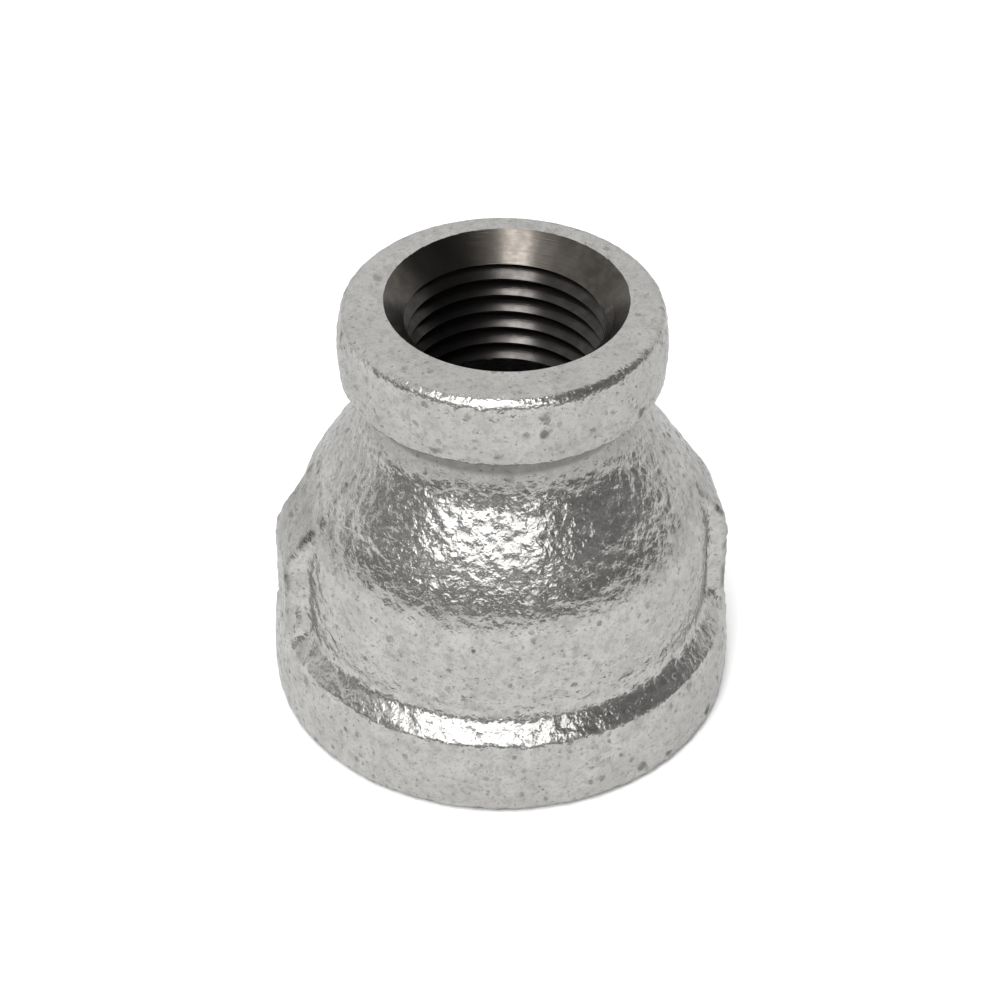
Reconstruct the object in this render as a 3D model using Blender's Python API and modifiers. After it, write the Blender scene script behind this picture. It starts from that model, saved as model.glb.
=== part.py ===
"""Galvanised malleable iron reducing coupling, 1 inch to 1/2 inch, tapped with tapered pipe threads.

The part is one cored casting: a banded large end, a bell-shaped body with two upright ribs, a neck and
a banded small end. It is made the way the real one is: the casting is turned and ribbed first, then
each end is tapped, and last each mouth is countersunk.

The origin is the centre of the large end's face, +Z runs up the axis to the small end's face, and the
ribs stand at +X and -X. Lengths are in metres.
"""

import math
from collections import namedtuple

import bmesh
import bpy
from mathutils import Matrix, Vector

MM = 0.001
INCH = 25.4 * MM

# Facets around the axis, and the largest turn of each facet in a bend of the outline, in degrees
SEGMENTS = 48
BEND_FACET = 15.0

# Corners of the casting's outline: radius, height and bend radius in mm. First the outside, from the
# small end's face at TOP down to the large end's face.
TOP = 43.2
SMALL_BAND = [(14.7, TOP, 0.8), (15.3, 39.7, 14.0), (15.0, 36.0, 0.6)]
NECK_AND_BELL = [(12.7, 35.1, 0.8), (12.7, 31.6, 2.5), (20.0, 20.3, 13.0)]
SHOULDER = [(20.0, 10.2, 1.0), (21.95, 8.2, 0.5)]
LARGE_BAND = [(22.57, 4.6, 18.0), (22.4, 0.0, 0.5)]
# Then the inside, from the large end up: the cored bores, tapped later, and the cavity between them.
LARGE_CORE = [(14.0, 0.0, 0.0), (14.0, 13.8, 0.8)]
CAVITY = [(16.7, 16.5, 0.8), (16.7, 20.1, 8.0)]
SMALL_CORE = [(8.3, 31.0, 1.0), (8.3, TOP, 0.0)]

# The two ribs: full depth up to RIB_FULL_Z, then sloping in to the bell
RIB_R = 21.5 * MM
RIB_ROOT_R = 16.3 * MM
RIB_WIDTH = 8.8 * MM
RIB_LOW_Z = 7.0 * MM
RIB_FULL_Z = 18.2 * MM
RIB_TOP_Z = 25.6 * MM
RIB_ROUND = 0.9 * MM

# Tapered pipe threads, right-hand. "inward" is the way into the fitting along Z, the pitch diameter is
# the one at the fitting's face, and mouth_r is the countersink's radius there.
Thread = namedtuple("Thread", "name face_z inward turns_per_inch pitch_diameter depth mouth_r")
SMALL_THREAD = Thread("small_tap", TOP * MM, -1, 14.0, 0.77843 * INCH, 15.6 * MM, 11.3 * MM)
LARGE_THREAD = Thread("large_tap", 0.0, 1, 11.5, 1.23863 * INCH, 16.4 * MM, 17.6 * MM)
TAPER = 1.0 / 32.0  # fall in radius for each unit of depth
THREAD_HEIGHT_IN_PITCHES = 0.8
LEAD_TURNS = 1.5  # a tap's ridge fades over its last turns
LEAST_RIDGE = 0.05 * MM
PAST_THE_FACE = 1.5 * MM  # cutters start this far outside the fitting

SMOOTH_UNDER = 35.0  # edges that turn by fewer degrees are shaded smooth
WELD = 0.01 * MM


def outline():
    """The casting's closed outline, with each corner rounded to its bend radius."""
    corners = SMALL_BAND + NECK_AND_BELL + SHOULDER + LARGE_BAND + LARGE_CORE + CAVITY + SMALL_CORE
    points = []
    for index, (r, z, bend) in enumerate(corners):
        corner = Vector((r, z))
        before = (Vector(corners[index - 1][:2]) - corner).normalized()
        after = (Vector(corners[(index + 1) % len(corners)][:2]) - corner).normalized()
        half = before.angle(after) / 2.0
        centre = corner + (before + after).normalized() * bend / math.sin(half)
        spoke = corner + before * bend / math.tan(half) - centre
        turn = math.pi - 2.0 * half
        if before.cross(after) > 0.0:
            turn = -turn
        facets = math.ceil(abs(math.degrees(turn)) / BEND_FACET) if bend else 0
        for facet in range(facets + 1):
            swung = spoke.copy()
            swung.rotate(Matrix.Rotation(turn * facet / max(facets, 1), 2))
            points.append((centre + swung) * MM)
    return points


def collection_for(name):
    """A new collection under the scene."""
    collection = bpy.data.collections.new(name)
    bpy.context.scene.collection.children.link(collection)
    return collection


def object_from_bmesh(name, mesh_data, collection):
    """Turn a bmesh into an object of the collection, and free the bmesh."""
    mesh = bpy.data.meshes.new(name)
    mesh_data.to_mesh(mesh)
    mesh_data.free()
    made = bpy.data.objects.new(name, mesh)
    collection.objects.link(made)
    return made


def turned_casting(name, collection):
    """The casting without its ribs: its outline turned about the axis."""
    section = bmesh.new()
    verts = [section.verts.new((r, 0.0, z)) for r, z in outline()]
    for index, vert in enumerate(verts):
        section.edges.new((vert, verts[(index + 1) % len(verts)]))
    casting = object_from_bmesh(name, section, collection)
    screw = casting.modifiers.new("turn", "SCREW")
    screw.axis = "Z"
    screw.angle = 2.0 * math.pi
    screw.steps = SEGMENTS
    screw.render_steps = SEGMENTS
    screw.use_merge_vertices = True
    screw.merge_threshold = WELD
    return casting


def rib(name, heading, collection):
    """One upright rib on the side of the body: an extruded outline with rounded edges."""
    side = [(RIB_ROOT_R, RIB_LOW_Z), (RIB_R, RIB_LOW_Z), (RIB_R, RIB_FULL_Z),
            (RIB_ROOT_R, RIB_TOP_Z)]
    curve = bpy.data.curves.new(name, "CURVE")
    curve.dimensions = "2D"
    curve.fill_mode = "BOTH"
    curve.extrude = RIB_WIDTH / 2.0
    spline = curve.splines.new("POLY")
    spline.points.add(len(side) - 1)
    for point, (r, z) in zip(spline.points, side):
        point.co = (r, z, 0.0, 1.0)
    spline.use_cyclic_u = True
    guide = bpy.data.objects.new(name + "_outline", curve)
    guide.rotation_euler = (math.radians(90.0), 0.0, heading)
    collection.objects.link(guide)
    bpy.context.view_layer.update()
    mesh = bpy.data.meshes.new_from_object(
        guide.evaluated_get(bpy.context.evaluated_depsgraph_get()))
    mesh.transform(guide.matrix_world)
    bpy.data.objects.remove(guide)
    welded = bmesh.new()
    welded.from_mesh(mesh)
    bmesh.ops.remove_doubles(welded, verts=welded.verts, dist=WELD)
    bmesh.ops.recalc_face_normals(welded, faces=welded.faces)
    made = object_from_bmesh(name, welded, collection)
    bevel = made.modifiers.new("cast_edges", "BEVEL")
    bevel.width = RIB_ROUND
    bevel.segments = 2
    bevel.limit_method = "ANGLE"
    return made


def tap(thread, collection):
    """A tapered tap: the closed solid whose removal leaves the internal thread.

    Its surface is two helices, the tap's core and the crest of its ridge, joined by the two flanks.
    Both run from just past the fitting's face to the bottom of the thread.
    """
    pitch = INCH / thread.turns_per_inch
    half_height = THREAD_HEIGHT_IN_PITCHES * pitch / 2.0
    travel = thread.depth + PAST_THE_FACE
    steps = int(travel / pitch * SEGMENTS)
    solid = bmesh.new()

    def vertex(step, on_ridge):
        """A point on one of the helices. The ridge runs half a pitch ahead of the core."""
        ahead = (step + (0.5 * SEGMENTS if on_ridge else 0.0)) * pitch / SEGMENTS
        depth = ahead - PAST_THE_FACE
        turns_left = (travel - ahead) / pitch
        fade = min(1.0, max(0.0, turns_left / LEAD_TURNS))
        core_r = thread.pitch_diameter / 2.0 - TAPER * depth - half_height
        ridge = LEAST_RIDGE + (2.0 * half_height - LEAST_RIDGE) * fade
        radius = core_r + (ridge if on_ridge else 0.0)
        angle = thread.inward * 2.0 * math.pi * step / SEGMENTS
        return solid.verts.new((radius * math.cos(angle), radius * math.sin(angle),
                                thread.face_z + thread.inward * depth))

    core = [vertex(step, False) for step in range(steps + SEGMENTS + 1)]
    ridge = [vertex(step, True) for step in range(steps + 1)]
    for step in range(steps):
        solid.faces.new((core[step], core[step + 1], ridge[step + 1], ridge[step]))
        solid.faces.new((ridge[step], ridge[step + 1],
                         core[step + SEGMENTS + 1], core[step + SEGMENTS]))
    for vert in (core[0], core[-1]):
        close_end(solid, vert)
    bmesh.ops.recalc_face_normals(solid, faces=solid.faces)
    return object_from_bmesh(thread.name, solid, collection)


def close_end(solid, vert):
    """Close the open end that vert lies on with a fan to the axis."""
    found = [edge for edge in vert.link_edges if edge.is_boundary]
    rim = set(found)
    while found:
        for corner in found.pop().verts:
            for edge in corner.link_edges:
                if edge.is_boundary and edge not in rim:
                    rim.add(edge)
                    found.append(edge)
    made = bmesh.ops.extrude_edge_only(solid, edges=list(rim))["geom"]
    verts = [item for item in made if isinstance(item, bmesh.types.BMVert)]
    bmesh.ops.pointmerge(solid, verts=verts, merge_co=(0.0, 0.0, vert.co.z))


def countersink(thread, collection):
    """A 90 degree cone that opens the mouth of a thread to mouth_r at the fitting's face."""
    size = thread.mouth_r + PAST_THE_FACE
    middle = thread.face_z + thread.inward * (size / 2.0 - PAST_THE_FACE)
    bpy.ops.mesh.primitive_cone_add(
        vertices=SEGMENTS,
        radius1=size,
        radius2=0.0,
        depth=size,
        location=(0.0, 0.0, middle),
        rotation=(math.pi if thread.inward < 0 else 0.0, 0.0, 0.0),
    )
    cone = bpy.context.object
    cone.name = thread.name.replace("tap", "countersink")
    for old in cone.users_collection:
        old.objects.unlink(cone)
    collection.objects.link(cone)
    return cone


def combine(target, other, operation):
    """Add or cut one solid with another."""
    boolean = target.modifiers.new(other.name, "BOOLEAN")
    boolean.operation = operation
    boolean.solver = "EXACT"
    boolean.object = other
    other.display_type = "WIRE"
    other.hide_render = True


def galvanised_iron():
    """Hot-dip galvanised cast iron."""
    material = bpy.data.materials.new("galvanised_iron")
    material.use_nodes = True
    shader = material.node_tree.nodes["Principled BSDF"]
    shader.inputs["Base Color"].default_value = (0.46, 0.45, 0.43, 1.0)
    shader.inputs["Metallic"].default_value = 0.85
    shader.inputs["Roughness"].default_value = 0.45
    return material


def settle(made):
    """Replace the object's modifiers with the mesh they give, and shade its round faces smooth."""
    bpy.context.view_layer.update()
    depsgraph = bpy.context.evaluated_depsgraph_get()
    mesh = bpy.data.meshes.new_from_object(made.evaluated_get(depsgraph))
    made.modifiers.clear()
    made.data = mesh
    mesh.name = made.name
    mesh.shade_smooth()
    mesh.set_sharp_from_angle(angle=math.radians(SMOOTH_UNDER))


def build():
    """Build the fitting."""
    for old in list(bpy.data.objects):
        bpy.data.objects.remove(old)
    fitting = collection_for("reducing_coupling")
    cutters = collection_for("cutters")
    body = turned_casting("reducer_body", fitting)
    for name, heading in (("rib_right", 0.0), ("rib_left", math.pi)):
        combine(body, rib(name, heading, cutters), "UNION")
    for thread in (SMALL_THREAD, LARGE_THREAD):
        combine(body, tap(thread, cutters), "DIFFERENCE")
        combine(body, countersink(thread, cutters), "DIFFERENCE")
    settle(body)
    body.data.materials.clear()
    body.data.materials.append(galvanised_iron())


build()
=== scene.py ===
"""Looks of the galvanised reducing coupling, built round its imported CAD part.

One closed mesh stands for the casting. It is made the way the real part is: the cast shape with its
ribs and rough zinc skin comes first, and both ends are then tapped and countersunk. Lengths are in
millimetres until the mesh is written, and the axis is the fitting's own: the origin is the centre of
the large end's face, +Z goes to the small end, and the ribs stand at +X and -X.
"""

import math
from collections import namedtuple

import bmesh
import bpy
import numpy as np
from mathutils import Matrix, Vector, noise


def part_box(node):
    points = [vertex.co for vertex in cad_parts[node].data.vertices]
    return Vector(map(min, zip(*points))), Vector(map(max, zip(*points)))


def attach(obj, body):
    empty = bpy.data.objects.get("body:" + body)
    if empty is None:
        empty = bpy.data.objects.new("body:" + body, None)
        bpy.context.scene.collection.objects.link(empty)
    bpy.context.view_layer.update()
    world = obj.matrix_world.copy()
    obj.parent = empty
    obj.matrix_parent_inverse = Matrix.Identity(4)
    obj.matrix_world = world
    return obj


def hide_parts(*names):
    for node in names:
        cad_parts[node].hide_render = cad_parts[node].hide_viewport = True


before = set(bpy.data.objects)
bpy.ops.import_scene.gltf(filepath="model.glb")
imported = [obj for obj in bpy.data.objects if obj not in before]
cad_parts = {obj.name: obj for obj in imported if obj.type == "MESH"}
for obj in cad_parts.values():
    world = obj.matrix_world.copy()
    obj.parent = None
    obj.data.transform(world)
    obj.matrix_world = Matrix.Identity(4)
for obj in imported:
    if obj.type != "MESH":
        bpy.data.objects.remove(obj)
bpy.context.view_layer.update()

MM = 0.001
INCH = 25.4

LOW, HIGH = (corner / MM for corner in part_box("reducer_body"))
TOP = HIGH.z
BAND_R = (HIGH.x - LOW.x) / 2.0

# Corners of the casting's outline: radius, height, bend radius and the longest step along it. First
# the outside, from the small end's face down to the large end's face, then the inside up to the top.
FINE = 0.34
COARSE = 1.2
OUTLINE = [
    (14.95, TOP, 1.3, FINE), (15.55, 39.7, 14.0, FINE), (15.25, 36.0, 0.6, FINE),
    (12.7, 35.1, 0.5, FINE), (12.7, 31.9, 8.0, FINE), (16.75, 26.1, 16.0, FINE),
    (20.0, 20.5, 12.0, FINE),
    (20.0, 10.2, 1.8, FINE), (21.95, 8.2, 0.9, FINE), (BAND_R + 0.07, 4.6, 18.0, FINE),
    (22.4, 0.0, 1.0, FINE), (16.6, 0.0, 0.0, COARSE), (14.0, 0.0, 0.0, COARSE),
    (14.0, 13.8, 0.8, 0.6), (16.7, 16.5, 0.8, 0.6), (16.7, 20.1, 8.0, 0.6),
    (8.3, 31.0, 1.0, COARSE), (8.3, TOP, 0.0, COARSE), (10.4, TOP, 0.0, FINE),
]
SKIN_MEAN = 0.19  # depth of the rough skin below the outline, which the small face keeps to
FACE_SMOOTHING = 0.7  # share of the roughness that the small face lacks
FACE_BLEND = 1.4  # depth below the small face over which its smoothness fades
BEND_STEP = 20.0  # degrees turned by each step in a bend
QUARTER = 95  # columns in each quarter of the way round
SECTION_RAYS = 900  # directions in which a quarter of a level section is measured
SECTION_LEAST_R = 8.0  # where the measuring starts, inside every section
HALVINGS = 34  # halvings of the distance along each direction

# The two ribs
RIB_R = 21.75
RIB_HALF_WIDTH = 4.4
RIB_FULL_Z = 18.2
RIB_END_R, RIB_END_Z = 16.3, 25.6
RIB_RAMP = (RIB_R - RIB_END_R) / (RIB_END_Z - RIB_FULL_Z)  # fall in radius for each unit of height
RIB_ROUND = 0.9
RIB_FILLET = 0.9
RIB_TOP_BLEND = 1.2  # reach of the rounding between a rib's face and its ramp
RIB_ZONE = (6.0, 30.0)
FLASH_ZONE = (11.0, 21.5)  # heights between which the ribs' long edges are rough
FLASH_LEAST_X = 19.8
FLASH_Y = 3.9
FLASH_REACH = 0.9
FLASH_DEPTH = 0.4

# Tapered pipe threads, right-hand. The small end was tapped and countersunk a little off the axis.
Thread = namedtuple("Thread", "name face_z inward pitch pitch_r depth mouth_r steps axis turned sink_axis")
SMALL = Thread("small_tap", TOP, -1, INCH / 14.0, 0.77843 * INCH / 2.0, 15.6, 11.5, 240,
               (0.41, 0.33), 78.0, (0.53, 1.00))
LARGE = Thread("large_tap", 0.0, 1, INCH / 11.5, 1.23863 * INCH / 2.0, 16.4, 17.6, 192,
               (0.0, 0.0), 0.0, (0.0, 0.0))
TAPER = 1.0 / 32.0  # fall in radius for each unit of depth
CREST_HEIGHT = 0.38  # from the pitch radius in to the crest, in pitches, as are the next two
THREAD_HEIGHT = 0.57  # from crest to root: blunter than the standard profile
FLAT = 0.07
LEAD_TURNS = 1.5
RUN_OUT = 1.8
ENTRY = (1.1, 2.0)  # depths between which the ridge rises, inside the countersink
LEAST_RIDGE = 0.05
PAST_THE_FACE = 1.5
SHARP_ANGLE = math.radians(38.0)
SKIN, SUNK, THREADED, CORED = range(4)  # material slots

# How the faces of the finished mesh are told apart
SUNK_REACH = 0.06  # distance from a countersink's cone
FACING_IN = -0.05  # outward part of the normal of a face that looks at the axis
THREAD_FROM = 0.3  # depth of the thread's first faces
THREAD_REACH = 0.9  # distance beyond the pitch radius

# The cored inside lies within CORE_R up to CORE_BEND_Z, and within a cone above that
CORE_ZONE = (13.0, 31.6)
CORE_R = 18.0
CORE_BEND_Z = 20.0
CORE_TAPER = 0.77


def bent_outline():
    """The closed outline as an array of (radius, height), with its bends and long runs stepped."""
    points = []
    count = len(OUTLINE)
    runs = []
    for index, (r, z, bend, _) in enumerate(OUTLINE):
        corner = Vector((r, z))
        before = (Vector(OUTLINE[index - 1][:2]) - corner).normalized()
        after = (Vector(OUTLINE[(index + 1) % count][:2]) - corner).normalized()
        half = before.angle(after) / 2.0
        if not bend or math.pi - 2.0 * half < 0.001:
            runs.append([corner])
            continue
        centre = corner + (before + after).normalized() * bend / math.sin(half)
        spoke = corner + before * bend / math.tan(half) - centre
        turn = math.pi - 2.0 * half
        if before.cross(after) > 0.0:
            turn = -turn
        steps = math.ceil(abs(turn) / math.radians(BEND_STEP))
        steps = max(steps, math.ceil(abs(turn) * bend / OUTLINE[index][3]))
        arc = []
        for step in range(steps + 1):
            swung = spoke.copy()
            swung.rotate(Matrix.Rotation(turn * step / steps, 2))
            arc.append(centre + swung)
        runs.append(arc)
    for index, run in enumerate(runs):
        points.extend(run)
        start, end = run[-1], runs[(index + 1) % count][0]
        steps = math.ceil((end - start).length / OUTLINE[index][3])
        points.extend(start.lerp(end, step / steps) for step in range(1, steps))
    return np.array([tuple(point) for point in points])


def smooth_least(a, b, reach):
    """The lesser of two distances, blended where they are within reach of each other."""
    share = np.clip(0.5 + 0.5 * (b - a) / reach, 0.0, 1.0)
    return b + (a - b) * share - reach * share * (1.0 - share)


def quarter_sections(radii, heights):
    """Points of the body's level section in the +X +Y quarter, spaced evenly along it, for each height.

    The section is where a blend of two distances is nought: to the turned body and to a rounded rib.
    """
    angles = np.radians(np.linspace(0.0, 90.0, SECTION_RAYS))[None, :]
    radius, height = radii[:, None], heights[:, None]
    low = np.full((len(radii), angles.size), SECTION_LEAST_R)
    high = np.full_like(low, BAND_R + 2.0)
    ramp_scale = 1.0 / math.hypot(1.0, RIB_RAMP)
    for _ in range(HALVINGS):
        middle = (low + high) / 2.0
        x, y = middle * np.cos(angles), middle * np.sin(angles)
        front = x - RIB_R
        ramp = (front + RIB_RAMP * (height - RIB_FULL_Z)) * ramp_scale
        side = -smooth_least(-front, -ramp, RIB_TOP_BLEND) + RIB_ROUND
        flank = y - RIB_HALF_WIDTH + RIB_ROUND
        rib = np.minimum(np.maximum(side, flank), 0.0) - RIB_ROUND
        rib += np.hypot(np.maximum(side, 0.0), np.maximum(flank, 0.0))
        outside = smooth_least(middle - radius, rib, RIB_FILLET) > 0.0
        high = np.where(outside, middle, high)
        low = np.where(outside, low, middle)
    sections = []
    for row in (low + high) / 2.0:
        x, y = row * np.cos(angles[0]), row * np.sin(angles[0])
        run = np.concatenate(([0.0], np.cumsum(np.hypot(np.diff(x), np.diff(y)))))
        at = np.linspace(0.0, run[-1], QUARTER + 1)
        sections.append(np.stack([np.interp(at, run, x), np.interp(at, run, y)], axis=1))
    return np.array(sections)


def cast_points():
    """Points of the whole casting as an array of rows, columns and coordinates."""
    radii, heights = bent_outline().T
    even = np.radians(np.linspace(0.0, 90.0, QUARTER + 1))
    quarter = radii[:, None, None] * np.stack([np.cos(even), np.sin(even)], axis=1)
    outside = np.arange(len(radii)) < np.argmax(np.isclose(heights, 0.0))
    ribbed = outside & (heights > RIB_ZONE[0]) & (heights < RIB_ZONE[1])
    quarter[ribbed] = quarter_sections(radii[ribbed], heights[ribbed])
    flipped = quarter[:, ::-1]
    plane = np.concatenate([
        quarter[:, :-1],
        flipped[:, :-1] * (-1.0, 1.0),
        quarter[:, :-1] * (-1.0, -1.0),
        flipped[:, :-1] * (1.0, -1.0),
    ], axis=1)
    level = np.broadcast_to(heights[:, None, None], plane.shape[:2] + (1,))
    return np.concatenate([plane, level], axis=2)


def cast_mesh():
    """The casting before machining, as a closed mesh of quads."""
    points = cast_points()
    rows, columns = points.shape[:2]
    row, column = np.meshgrid(np.arange(rows), np.arange(columns), indexing="ij")
    below, beside = (row + 1) % rows, (column + 1) % columns
    quads = np.stack([
        row * columns + column, below * columns + column,
        below * columns + beside, row * columns + beside,
    ], axis=2).reshape(-1, 4)
    mesh = bpy.data.meshes.new("reducing_coupling")
    mesh.from_pydata((points.reshape(-1, 3) * MM).tolist(), [], quads.tolist())
    mesh.update()
    return mesh


def flash_depth(point):
    """How deep the notches lie along the rough edges of the ribs, in millimetres."""
    if abs(point.x) < FLASH_LEAST_X or not FLASH_ZONE[0] < point.z < FLASH_ZONE[1]:
        return 0.0
    near = max(0.0, 1.0 - abs(abs(point.y) - FLASH_Y) / FLASH_REACH)
    side = Vector((math.copysign(7.0, point.x), math.copysign(3.0, point.y), point.z * 1.05))
    return FLASH_DEPTH * near * max(0.0, noise.noise(side) - 0.02)


def skin_depth(point):
    """How far the rough zinc skin lies below the outline at a point, in millimetres."""
    slow = 0.5 + 0.5 * noise.noise(point * 0.17)
    swell = 0.5 + 0.5 * noise.noise(point * 0.45 + Vector((9.0, 0.0, 0.0)))
    peel = 0.5 + 0.5 * noise.noise(point * 1.15 + Vector((0.0, 31.0, 0.0)))
    crease = 1.0 - min(1.0, 4.0 * abs(noise.noise(point * 0.85 + Vector((17.0, 5.0, 0.0)))))
    grain = 0.5 + 0.5 * noise.noise(point * 1.9 + Vector((0.0, 0.0, 57.0)))
    depth = 0.03 * slow + 0.04 * swell + 0.17 * peel + 0.05 * crease + 0.11 * grain
    smoothed = min(1.0, max(0.0, point.z - TOP + FACE_BLEND))
    depth += (SKIN_MEAN - depth) * FACE_SMOOTHING * smoothed
    return depth + flash_depth(point)


def roughen(mesh):
    """Sink the casting's surface to its zinc skin."""
    count = len(mesh.vertices)
    places = np.empty(count * 3)
    mesh.vertices.foreach_get("co", places)
    places = places.reshape(-1, 3) / MM
    normals = np.empty(count * 3)
    mesh.vertex_normals.foreach_get("vector", normals)
    depth = np.array([skin_depth(Vector(place)) for place in places])
    places -= normals.reshape(-1, 3) * depth[:, None]
    mesh.vertices.foreach_set("co", (places * MM).ravel())
    mesh.update()


def tap(thread):
    """A tapered tap as a closed solid, whose removal leaves the internal thread.

    Its surface joins four helices: the two edges of the core's flat and the two of the ridge's flat.
    """
    travel = thread.depth + PAST_THE_FACE
    steps = int(travel / thread.pitch * thread.steps)
    solid = bmesh.new()

    def helix(phase, on_ridge, count):
        made = []
        for step in range(count):
            ahead = (step / thread.steps + phase) * thread.pitch
            depth = ahead - PAST_THE_FACE
            fade = min(1.0, max(0.0, (travel - ahead) / thread.pitch / LEAD_TURNS))
            fade *= min(1.0, max(0.0, (depth - ENTRY[0]) / (ENTRY[1] - ENTRY[0])))
            radius = thread.pitch_r - TAPER * depth - CREST_HEIGHT * thread.pitch
            if on_ridge:
                radius += LEAST_RIDGE + (THREAD_HEIGHT * thread.pitch - LEAST_RIDGE) * fade
            angle = math.radians(thread.turned) + thread.inward * 2.0 * math.pi * step / thread.steps
            place = Vector((thread.axis[0] + radius * math.cos(angle),
                            thread.axis[1] + radius * math.sin(angle),
                            thread.face_z + thread.inward * depth))
            made.append(solid.verts.new(place * MM))
        return made

    core = helix(0.0, False, steps + thread.steps + 1)
    rows = [helix(FLAT, False, steps + 1), helix(0.5, True, steps + 1),
            helix(0.5 + FLAT, True, steps + 1)]
    rows = [core[:steps + 1]] + rows + [core[thread.steps:]]
    for upper, lower in zip(rows, rows[1:]):
        for step in range(steps):
            solid.faces.new((upper[step], upper[step + 1], lower[step + 1], lower[step]))
    for vert in (core[0], core[-1]):
        close_end(solid, vert, thread.axis)
    bmesh.ops.recalc_face_normals(solid, faces=solid.faces)
    return object_from(solid, thread.name)


def close_end(solid, vert, axis):
    """Close the open end that vert lies on with a fan to the tap's axis."""
    found = [edge for edge in vert.link_edges if edge.is_boundary]
    rim = set(found)
    while found:
        for corner in found.pop().verts:
            for edge in corner.link_edges:
                if edge.is_boundary and edge not in rim:
                    rim.add(edge)
                    found.append(edge)
    made = bmesh.ops.extrude_edge_only(solid, edges=list(rim))["geom"]
    verts = [item for item in made if isinstance(item, bmesh.types.BMVert)]
    bmesh.ops.pointmerge(solid, verts=verts, merge_co=(axis[0] * MM, axis[1] * MM, vert.co.z))


def object_from(solid, name):
    """Turn a bmesh into an object of the scene, and free the bmesh."""
    mesh = bpy.data.meshes.new(name)
    solid.to_mesh(mesh)
    solid.free()
    made = bpy.data.objects.new(name, mesh)
    bpy.context.scene.collection.objects.link(made)
    return made


def countersink(thread):
    """A 90 degree cone that opens the mouth of a thread."""
    size = thread.mouth_r + PAST_THE_FACE
    cone = bmesh.new()
    bmesh.ops.create_cone(cone, cap_ends=True, segments=2 * thread.steps, radius1=size * MM,
                          radius2=0.0, depth=size * MM)
    middle = thread.face_z + thread.inward * (size / 2.0 - PAST_THE_FACE)
    flip = Matrix.Rotation(math.pi if thread.inward < 0 else 0.0, 4, "X")
    cone.transform(Matrix.Translation(Vector((*thread.sink_axis, middle)) * MM) @ flip)
    return object_from(cone, thread.name + "_countersink")


def cut(target, cutter):
    """Take the cutter away from the target."""
    boolean = target.modifiers.new(cutter.name, "BOOLEAN")
    boolean.operation = "DIFFERENCE"
    boolean.solver = "EXACT"
    boolean.object = cutter
    bpy.context.view_layer.update()
    mesh = bpy.data.meshes.new_from_object(
        target.evaluated_get(bpy.context.evaluated_depsgraph_get()))
    target.modifiers.clear()
    target.data = mesh
    bpy.data.objects.remove(cutter)


def surface_of(centre, normal):
    """The material slot of a face from its middle and normal, in millimetres."""
    x, y, z = centre
    for thread in (SMALL, LARGE):
        depth = (z - thread.face_z) * thread.inward
        across = Vector((x - thread.sink_axis[0], y - thread.sink_axis[1], 0.0))
        radius = across.length
        inside = normal.dot(across) < FACING_IN * radius
        if abs(radius + depth - thread.mouth_r) < SUNK_REACH and inside and depth > 0.0:
            return SUNK
        across = Vector((x - thread.axis[0], y - thread.axis[1], 0.0))
        within = across.length < thread.pitch_r + THREAD_REACH
        if THREAD_FROM < depth < thread.depth - RUN_OUT and within:
            return THREADED
    wall_r = CORE_R - max(0.0, z - CORE_BEND_Z) * CORE_TAPER
    if CORE_ZONE[0] < z < CORE_ZONE[1] and math.hypot(x, y) < wall_r:
        return CORED
    return SKIN


def assign_surfaces(mesh):
    """Give each face its material slot: zinc skin, countersink, thread or cored inside."""
    for face in mesh.polygons:
        face.material_index = surface_of(face.center / MM, face.normal)


def sharpen_borders(mesh):
    """Shade smooth, but keep the countersinks flat, and tool edges and borders of surfaces sharp."""
    mesh.shade_smooth()
    for face in mesh.polygons:
        face.use_smooth = face.material_index != SUNK
    mesh.set_sharp_from_angle(angle=SHARP_ANGLE)
    faces = bmesh.new()
    faces.from_mesh(mesh)
    for edge in faces.edges:
        if len({face.material_index for face in edge.link_faces}) > 1:
            edge.smooth = False
    faces.to_mesh(mesh)
    faces.free()


def coupling():
    """The finished fitting as one object."""
    mesh = cast_mesh()
    roughen(mesh)
    made = bpy.data.objects.new("reducing_coupling", mesh)
    bpy.context.scene.collection.objects.link(made)
    for thread in (SMALL, LARGE):
        cut(made, tap(thread))
        cut(made, countersink(thread))
    made.data.name = "reducing_coupling"
    return made


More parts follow.
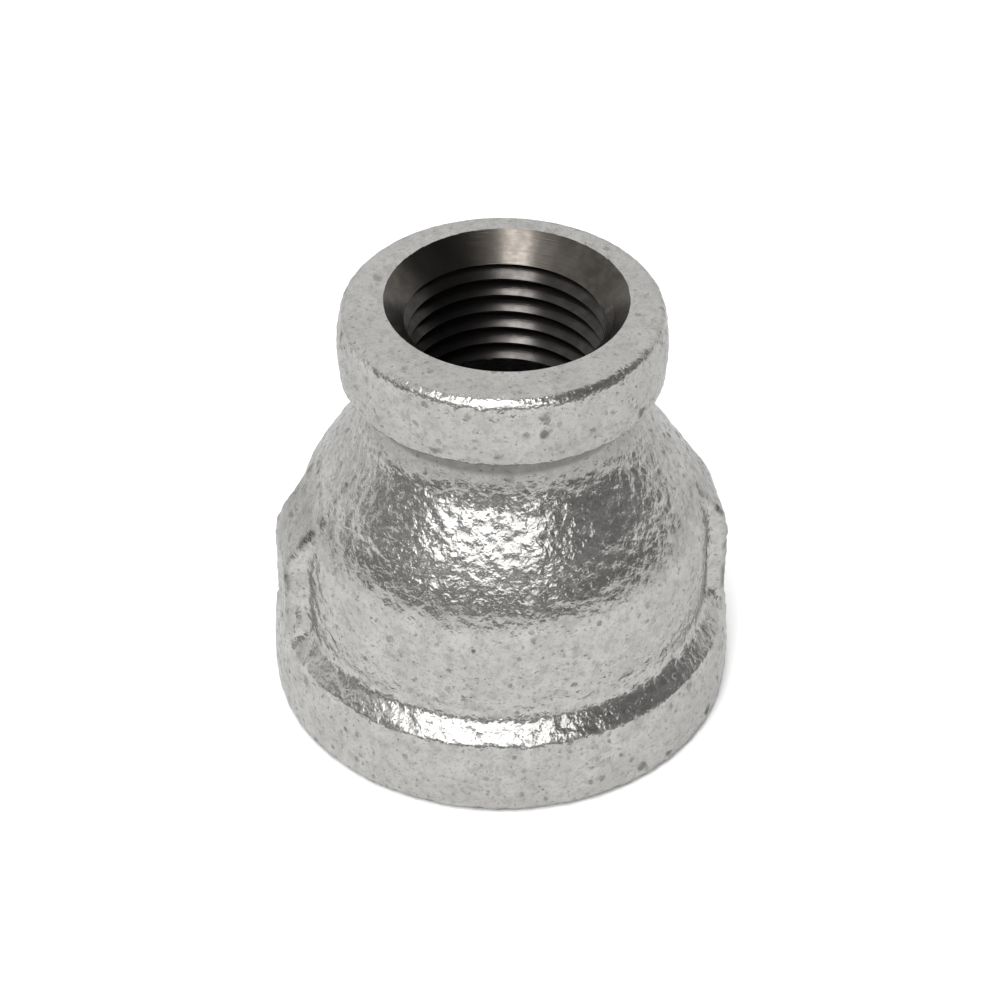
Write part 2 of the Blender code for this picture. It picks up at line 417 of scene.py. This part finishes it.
class Nodes:
    """Short calls for building one node tree."""

    def __init__(self, tree):
        self.tree = tree
        tree.nodes.clear()

    def add(self, kind, settings=None, **inputs):
        """A node, with properties from settings and sockets from inputs, each a value or a socket."""
        node = self.tree.nodes.new(kind)
        for name, value in (settings or {}).items():
            setattr(node, name, value)
        for name, value in inputs.items():
            socket = node.inputs[int(name[1:])] if name[0] == "i" and name[1:].isdigit() \
                else node.inputs[name.replace("_", " ")]
            if isinstance(value, bpy.types.NodeSocket):
                self.tree.links.new(value, socket)
            else:
                socket.default_value = value
        return node

    def math(self, operation, a, b=0.0):
        return self.add("ShaderNodeMath", {"operation": operation}, i0=a, i1=b).outputs[0]

    def ramp(self, value, low, high, to_low=0.0, to_high=1.0):
        """value from low to high, eased into to_low to to_high."""
        node = self.add("ShaderNodeMapRange", {"interpolation_type": "SMOOTHSTEP"}, Value=value)
        for name, number in (("From Min", low), ("From Max", high),
                             ("To Min", to_low), ("To Max", to_high)):
            node.inputs[name].default_value = number
        return node.outputs[0]

    def noise(self, place, scale, detail=2.0, rough=0.5, seed=0.0):
        return self.add("ShaderNodeTexNoise", {"noise_dimensions": "4D"}, Vector=place, Scale=scale,
                        Detail=detail, Roughness=rough, W=seed).outputs["Fac"]

    def blend(self, share, first, second):
        """Two colours mixed by share."""
        node = self.add("ShaderNodeMix", {"data_type": "RGBA"}, i0=share, i6=first, i7=second)
        return node.outputs[2]

    def bump(self, height, distance, strength=1.0, under=None):
        node = self.add("ShaderNodeBump", Height=height, Distance=distance, Strength=strength)
        if under is not None:
            self.tree.links.new(under, node.inputs["Normal"])
        return node.outputs[0]


def new_material(name):
    """A material with an empty node tree, its Principled shader and the place in millimetres."""
    material = bpy.data.materials.new(name)
    material.use_nodes = True
    nodes = Nodes(material.node_tree)
    shader = nodes.add("ShaderNodeBsdfPrincipled")
    output = nodes.add("ShaderNodeOutputMaterial")
    material.node_tree.links.new(shader.outputs[0], output.inputs[0])
    place = nodes.add("ShaderNodeTexCoord").outputs["Object"]
    place = nodes.add("ShaderNodeVectorMath", {"operation": "SCALE"}, i0=place, Scale=1.0 / MM)
    return material, nodes, shader, place.outputs[0]


def plug(nodes, shader, **inputs):
    """Set or link the shader's sockets."""
    for name, value in inputs.items():
        socket = shader.inputs[name.replace("_", " ")]
        if isinstance(value, bpy.types.NodeSocket):
            nodes.tree.links.new(value, socket)
        else:
            socket.default_value = value


def pits(nodes, place, scale, share, size, seed):
    """Scattered soft-edged spots of uneven size and outline, as a factor from 0 to 1."""
    warp = nodes.add("ShaderNodeTexNoise", Vector=place, Scale=2.4 * scale, Detail=2.0).outputs["Color"]
    warp = nodes.add("ShaderNodeVectorMath", {"operation": "MULTIPLY_ADD"}, i0=warp,
                     i1=(0.5 / scale,) * 3, i2=place).outputs[0]
    shifted = nodes.add("ShaderNodeVectorMath", {"operation": "ADD"}, i0=warp, i1=(seed,) * 3)
    cells = nodes.add("ShaderNodeTexVoronoi", Vector=shifted.outputs[0], Scale=scale)
    pick = nodes.add("ShaderNodeSeparateColor", i0=cells.outputs["Color"])
    chosen = nodes.ramp(pick.outputs[0], 1.0 - share, 1.04 - share)
    width = nodes.ramp(pick.outputs[1], 0.0, 1.0, 0.35 * size, size)
    inside = nodes.math("DIVIDE", cells.outputs["Distance"], width)
    return nodes.math("MULTIPLY", nodes.ramp(inside, 1.0, 0.35),
                      nodes.math("MULTIPLY", chosen, nodes.ramp(pick.outputs[2], 0.0, 1.0, 0.4, 1.0)))


def on_rib(nodes, place):
    """Two factors: 1 on the outer faces and ramps of the ribs, and 1 along their long edges."""
    x, y, z = nodes.add("ShaderNodeSeparateXYZ", Vector=place).outputs
    past = nodes.math("MAXIMUM", nodes.math("SUBTRACT", z, RIB_FULL_Z), 0.0)
    past = nodes.math("MULTIPLY", past, RIB_RAMP)
    outward = nodes.math("ADD", nodes.math("ABSOLUTE", x), past)
    beside = nodes.math("ABSOLUTE", y)
    share = nodes.math("MULTIPLY", nodes.ramp(outward, RIB_R - 1.0, RIB_R - 0.4),
                       nodes.ramp(beside, 4.9, 4.4))
    span = nodes.math("MULTIPLY", nodes.ramp(z, 8.8, 10.2), nodes.ramp(z, 23.5, 22.0))
    rib = nodes.math("MULTIPLY", share, span)
    from_edge = nodes.math("ABSOLUTE", nodes.math("SUBTRACT", beside, RIB_HALF_WIDTH - 0.3))
    return rib, nodes.math("MULTIPLY", rib, nodes.ramp(from_edge, 0.9, 0.4))


def level_band(nodes, height, middle, outer, inner, share=1.0):
    """A band round the axis: share within inner of its middle height, fading to 0 at outer."""
    away = nodes.math("ABSOLUTE", nodes.math("SUBTRACT", height, middle))
    return nodes.ramp(away, outer, inner, 0.0, share)


def zinc_colour(nodes, place, mottle, grain):
    """The zinc's own grey, clouded and mottled, with dark and bright grains."""
    cloud = nodes.noise(place, 0.30, 3.0, 0.6)
    colour = nodes.blend(nodes.ramp(cloud, 0.35, 0.68), (0.378, 0.373, 0.360, 1.0),
                         (0.434, 0.430, 0.417, 1.0))
    colour = nodes.blend(nodes.ramp(mottle, 0.55, 0.34, 0.0, 0.6), colour,
                         (0.27, 0.262, 0.245, 1.0))
    colour = nodes.blend(nodes.ramp(grain, 0.49, 0.33, 0.0, 0.55), colour, (0.20, 0.192, 0.178, 1.0))
    colour = nodes.blend(nodes.ramp(grain, 0.60, 0.78, 0.0, 0.35), colour, (0.64, 0.64, 0.63, 1.0))
    return colour


def zinc_spots(nodes, place):
    """Pits of three sizes, as one factor."""
    spots = nodes.math("MULTIPLY", pits(nodes, place, 0.42, 0.40, 0.32, 0.0), 0.85)
    for scale, share, size, depth, seed in ((0.95, 0.50, 0.44, 0.55, 40.0), (1.9, 0.40, 0.46, 0.4, 80.0)):
        layer = nodes.math("MULTIPLY", pits(nodes, place, scale, share, size, seed), depth)
        spots = nodes.math("MAXIMUM", spots, layer)
    return spots


def painted_light_and_marks(nodes, place, colour, mottle, grain):
    """The colour with painted shade below the small band, on it and on the ribs, a painted reflection
    round the bell's foot, painted light on the top face and dark marks on the rib edges.
    """
    height = nodes.add("ShaderNodeSeparateXYZ", Vector=place).outputs[2]
    # Painted shade: a near-black line round the neck just under the small band, where the band's underside
    # shades it.
    crease = nodes.math("MULTIPLY", level_band(nodes, height, 34.2, 1.3, 0.7),
                        nodes.ramp(mottle, 0.30, 0.60, 0.65, 1.0))
    colour = nodes.blend(crease, colour, (0.08, 0.076, 0.07, 1.0))
    # Painted shade: the neck darkened below the small band.
    neck_shade = nodes.math("MULTIPLY", level_band(nodes, height, 33.4, 3.6, 0.8, 0.6),
                      nodes.ramp(grain, 0.3, 0.7, 1.0, 0.5))
    colour = nodes.blend(neck_shade, colour, (0.20, 0.195, 0.185, 1.0))
    # Painted reflection: a dark band round the bell's foot, under its highlight, stands in for the dark
    # room it reflects.
    foot_reflection = nodes.math("MULTIPLY", level_band(nodes, height, 22.5, 2.6, 0.6, 0.45),
                      nodes.ramp(mottle, 0.3, 0.7, 1.0, 0.4))
    colour = nodes.blend(foot_reflection, colour, (0.16, 0.155, 0.142, 1.0))
    # Painted shade: the small band made a little darker than the body.
    colour = nodes.blend(level_band(nodes, height, 36.6, 6.2, 4.8, 0.2), colour,
                         (0.22, 0.215, 0.205, 1.0))
    rib, rib_edge = on_rib(nodes, place)
    # Painted shade: the ribs' outer faces and ramps darkened.
    colour = nodes.blend(nodes.math("MULTIPLY", rib, 0.4), colour, (0.20, 0.195, 0.185, 1.0))
    teeth = nodes.ramp(nodes.noise(place, 0.75, 0.0, 0.5, 13.0), 0.52, 0.60, 0.0, 0.6)
    colour = nodes.blend(nodes.math("MULTIPLY", rib_edge, teeth), colour, (0.08, 0.076, 0.07, 1.0))
    # Painted light: the top face made paler.
    return nodes.blend(nodes.ramp(height, TOP - 0.6, TOP - 0.25, 0.0, 0.16), colour,
                       (0.56, 0.555, 0.54, 1.0))


def zinc_skin():
    """Hot-dip zinc on a rough casting: grey, mottled and dimpled, with uneven darker pits."""
    material, nodes, shader, place = new_material("zinc_skin")
    mottle = nodes.noise(place, 1.1, 5.0, 0.68, 3.0)
    grain = nodes.noise(place, 4.2, 3.0, 0.65, 7.0)
    spots = zinc_spots(nodes, place)
    colour = nodes.blend(spots, zinc_colour(nodes, place, mottle, grain), (0.085, 0.08, 0.07, 1.0))
    rough = nodes.math("ADD", nodes.ramp(mottle, 0.3, 0.7, 0.28, 0.18), nodes.math("MULTIPLY", spots, 0.3))
    relief = nodes.bump(nodes.noise(place, 1.9, 2.0, 0.5, 11.0), 0.00012, 0.9)
    relief = nodes.bump(nodes.math("MULTIPLY", spots, -1.0), 0.00012, 0.8, relief)
    # The base colour carries painted shade, a painted reflection and painted light.
    plug(nodes, shader, Base_Color=painted_light_and_marks(nodes, place, colour, mottle, grain), Metallic=0.88,
         Roughness=rough, Normal=relief, Specular_Tint=(0.7, 0.7, 0.7, 1.0))
    return material


def bare_iron(name, dark, light, smooth):
    """Iron bared by a cutting tool, brownish grey, with fine turning marks round the axis."""
    material, nodes, shader, place = new_material(name)
    x, y, z = nodes.add("ShaderNodeSeparateXYZ", Vector=place).outputs
    radius = nodes.math("SQRT", nodes.math("ADD", nodes.math("MULTIPLY", x, x),
                                           nodes.math("MULTIPLY", y, y)))
    ring = nodes.add("ShaderNodeCombineXYZ", X=nodes.math("MULTIPLY", radius, 9.0),
                     Y=nodes.math("MULTIPLY", z, 9.0), Z=0.0).outputs[0]
    marks = nodes.noise(ring, 1.0, 2.0, 0.6, 2.0)
    stain = nodes.noise(place, 0.5, 4.0, 0.6, 5.0)
    colour = nodes.blend(nodes.ramp(stain, 0.32, 0.68), dark, light)
    marked = tuple(0.5 * part for part in dark[:3]) + (1.0,)
    colour = nodes.blend(nodes.ramp(marks, 0.55, 0.3, 0.0, 0.3), colour, marked)
    relief = nodes.bump(marks, 0.00002, 0.6)
    plug(nodes, shader, Base_Color=colour, Metallic=0.95,
         Roughness=nodes.ramp(stain, 0.3, 0.7, smooth + 0.07, smooth), Normal=relief)
    return material


def countersunk_iron():
    return bare_iron("countersunk_iron", (0.054, 0.048, 0.042, 1.0), (0.092, 0.084, 0.075, 1.0), 0.19)


def threaded_iron():
    # Painted shade: the threads, deeper in the bore, get a darker copy of the countersink's bare iron;
    # partly the iron's own darker tone.
    return bare_iron("threaded_iron", (0.034, 0.031, 0.030, 1.0), (0.060, 0.056, 0.053, 1.0), 0.20)


def cored_iron():
    """The unmachined inside, dark from the core sand, and painted darker still with the shade deep in the
    hole.
    """
    material, nodes, shader, place = new_material("cored_iron")
    cloud = nodes.noise(place, 1.1, 4.0, 0.6, 9.0)
    colour = nodes.blend(nodes.ramp(cloud, 0.3, 0.7), (0.012, 0.011, 0.010, 1.0),
                         (0.045, 0.043, 0.04, 1.0))
    relief = nodes.bump(nodes.noise(place, 2.4, 3.0, 0.6, 4.0), 0.0002, 0.8)
    plug(nodes, shader, Base_Color=colour, Metallic=0.6, Roughness=0.75, Normal=relief)
    return material


def pale_floor():
    """A wide, even, nearly white floor."""
    size = 6.0
    mesh = bpy.data.meshes.new("floor")
    mesh.from_pydata([(-size, -size, 0.0), (size, -size, 0.0), (size, size, 0.0),
                      (-size, size, 0.0)], [], [(0, 1, 2, 3)])
    made = bpy.data.objects.new("floor", mesh)
    made.location.z = LOW.z * MM
    bpy.context.scene.collection.objects.link(made)
    material, nodes, shader, place = new_material("pale_floor")
    tone = nodes.noise(place, 0.004, 2.0)
    plug(nodes, shader, Base_Color=nodes.blend(tone, (0.94, 0.94, 0.94, 1.0), (0.96, 0.96, 0.96, 1.0)),
         Roughness=0.7, Specular_IOR_Level=0.0)
    mesh.materials.append(material)


WHITE = 1.05  # brightness of the room's light part

# The camera, from the middle of the fitting: degrees, millimetres
VIEW_AZIMUTH = -9.8
VIEW_ELEVATION = 38.87
VIEW_DISTANCE = 291.3
LENS = 109.7
FRAMING = (-0.2106, 0.034, 0.33)  # tilt, pan and roll that set the fitting in the frame


def toward(azimuth, elevation):
    """Unit vector from the fitting: azimuth 0 is -Y, and it grows towards +X."""
    a, e = math.radians(azimuth), math.radians(elevation)
    return Vector((math.sin(a) * math.cos(e), -math.cos(a) * math.cos(e), math.sin(e)))


def camera():
    """The camera at the photograph's angle."""
    data = bpy.data.cameras.new("camera")
    data.lens = LENS
    data.sensor_width = 36.0
    made = bpy.data.objects.new("camera", data)
    bpy.context.scene.collection.objects.link(made)
    back = toward(VIEW_AZIMUTH, VIEW_ELEVATION)
    place = Vector((0.0, 0.0, 21.45)) + back * VIEW_DISTANCE
    tilt, pan, roll = (math.radians(angle) for angle in FRAMING)
    made.matrix_world = (
        Matrix.Translation(place * MM) @ (-back).to_track_quat("-Z", "Y").to_matrix().to_4x4()
        @ Matrix.Rotation(roll, 4, "Z") @ Matrix.Rotation(tilt, 4, "X") @ Matrix.Rotation(pan, 4, "Y"))
    data.clip_start, data.clip_end = 0.01, 30.0
    bpy.context.scene.camera = made


def softbox(name, azimuth, elevation, distance, width, height, watts):
    """A rectangular area light that faces the fitting."""
    data = bpy.data.lights.new(name, "AREA")
    data.shape = "RECTANGLE"
    data.size, data.size_y = width, height
    data.energy = watts
    made = bpy.data.objects.new(name, data)
    bpy.context.scene.collection.objects.link(made)
    out = toward(azimuth, elevation)
    made.location = out * distance + Vector((0.0, 0.0, TOP / 2.0 * MM))
    made.rotation_mode = "QUATERNION"
    made.rotation_quaternion = out.to_track_quat("Z", "Y")


def studio():
    """A white room, dark above and in front of the fitting, with two softboxes.

    The dark part only lights the scene and shows in reflections: the backdrop itself is plain white.
    """
    world = bpy.data.worlds.new("studio")
    bpy.context.scene.world = world
    world.use_nodes = True
    nodes = Nodes(world.node_tree)
    way = nodes.add("ShaderNodeTexCoord").outputs["Generated"]
    x, y, z = nodes.add("ShaderNodeSeparateXYZ", Vector=way).outputs
    front = nodes.ramp(y, 0.36, 0.10)
    upper = nodes.ramp(z, 0.40, 0.56)
    left = nodes.math("MULTIPLY", nodes.ramp(x, -0.36, -0.58), upper)
    dark = nodes.math("MULTIPLY", nodes.ramp(z, 0.0, 0.09), front)
    dark = nodes.math("MULTIPLY", dark, nodes.math("SUBTRACT", 1.0, left))
    level = nodes.ramp(z, 0.35, 0.70, 0.19, 0.05)
    shade = nodes.add("ShaderNodeCombineColor", i0=level, i1=level, i2=level).outputs[0]
    colour = nodes.blend(dark, (WHITE, WHITE, WHITE, 1.0), shade)
    seen = nodes.add("ShaderNodeLightPath").outputs["Is Camera Ray"]
    colour = nodes.blend(seen, colour, (WHITE, WHITE, WHITE, 1.0))
    light = nodes.add("ShaderNodeBackground", Color=colour, Strength=1.0)
    output = nodes.add("ShaderNodeOutputWorld")
    world.node_tree.links.new(light.outputs[0], output.inputs[0])
    softbox("key", -17.0, 41.0, 1.5, 1.90, 0.74, 14.0)
    softbox("overhead", -24.0, 69.0, 1.5, 0.50, 1.05, 17.5)


def colours():
    """Plain colour handling, with no film curve."""
    view = bpy.context.scene.view_settings
    view.view_transform = "Standard"
    view.look = "None"
    view.exposure = 0.0
    view.gamma = 1.0


camera()
body = coupling()
for material in (zinc_skin(), countersunk_iron(), threaded_iron(), cored_iron()):
    body.data.materials.append(material)
assign_surfaces(body.data)
sharpen_borders(body.data)
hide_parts("reducer_body")
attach(body, "root")
pale_floor()
studio()
colours()
